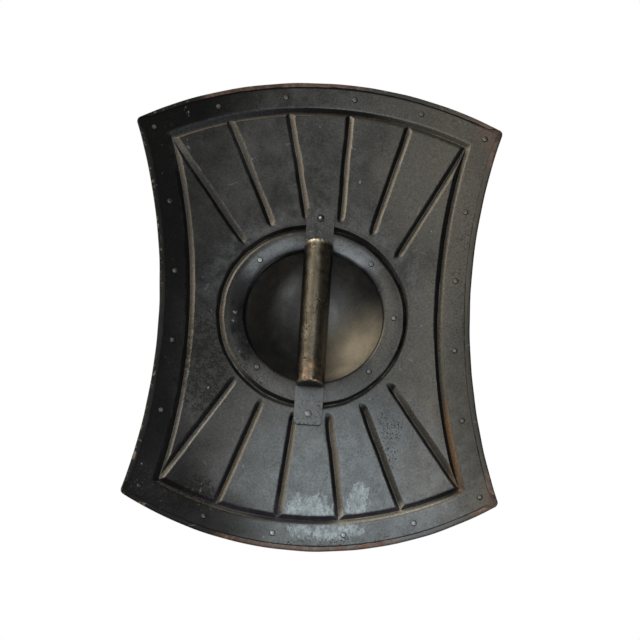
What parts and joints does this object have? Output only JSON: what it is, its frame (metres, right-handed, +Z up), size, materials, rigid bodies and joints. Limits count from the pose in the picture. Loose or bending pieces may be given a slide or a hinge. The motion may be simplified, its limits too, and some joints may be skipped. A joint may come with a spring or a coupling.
{
  "type": "metal hand shield",
  "caption": "Curved metal hand shield with drawn-in sides, pressed ribs and beads, a riveted border frame, a domed boss and an upright hand grip across the hand hole.",
  "frame": {"origin": "middle of the hand grip, half-way between the front of its strap and the crest of its shell", "axes": "+Z up the shield, +Y to its front and away from the bearer, +X to the bearer's right"},
  "size_m": [0.4284, 0.0812, 0.566],
  "materials": {
    "blackened_sheet": "satin black patina, rubbed through to grey on high places",
    "worn_rim": "dark patina worn reddish brown along the fold",
    "boss_iron": "soft satin, tan and bluish grey",
    "strap_iron": "dark pitted satin",
    "grip_bronze": "worn and pitted satin bronze",
    "rivet_iron": "peened satin"
  },
  "bodies": {
    "root": {"main_plate": "blackened_sheet", "rim_frame": "worn_rim", "boss": "boss_iron", "border_rivet_01": "rivet_iron", "border_rivet_02": "rivet_iron", "border_rivet_03": "rivet_iron", "border_rivet_04": "rivet_iron", "border_rivet_05": "rivet_iron", "border_rivet_06": "rivet_iron", "border_rivet_07": "rivet_iron", "border_rivet_08": "rivet_iron", "border_rivet_09": "rivet_iron", "border_rivet_10": "rivet_iron", "border_rivet_11": "rivet_iron", "border_rivet_12": "rivet_iron", "border_rivet_13": "rivet_iron", "border_rivet_14": "rivet_iron", "border_rivet_15": "rivet_iron", "border_rivet_16": "rivet_iron", "border_rivet_17": "rivet_iron", "border_rivet_18": "rivet_iron", "border_rivet_19": "rivet_iron", "border_rivet_20": "rivet_iron", "boss_rivet_1": "rivet_iron", "boss_rivet_2": "rivet_iron", "boss_rivet_3": "rivet_iron", "boss_rivet_4": "rivet_iron", "boss_rivet_5": "rivet_iron", "boss_rivet_6": "rivet_iron", "grip_strap": "strap_iron", "grip_shell": "grip_bronze", "grip_rivet_upper": "rivet_iron", "grip_rivet_lower": "rivet_iron"}
  },
  "joints": []
}
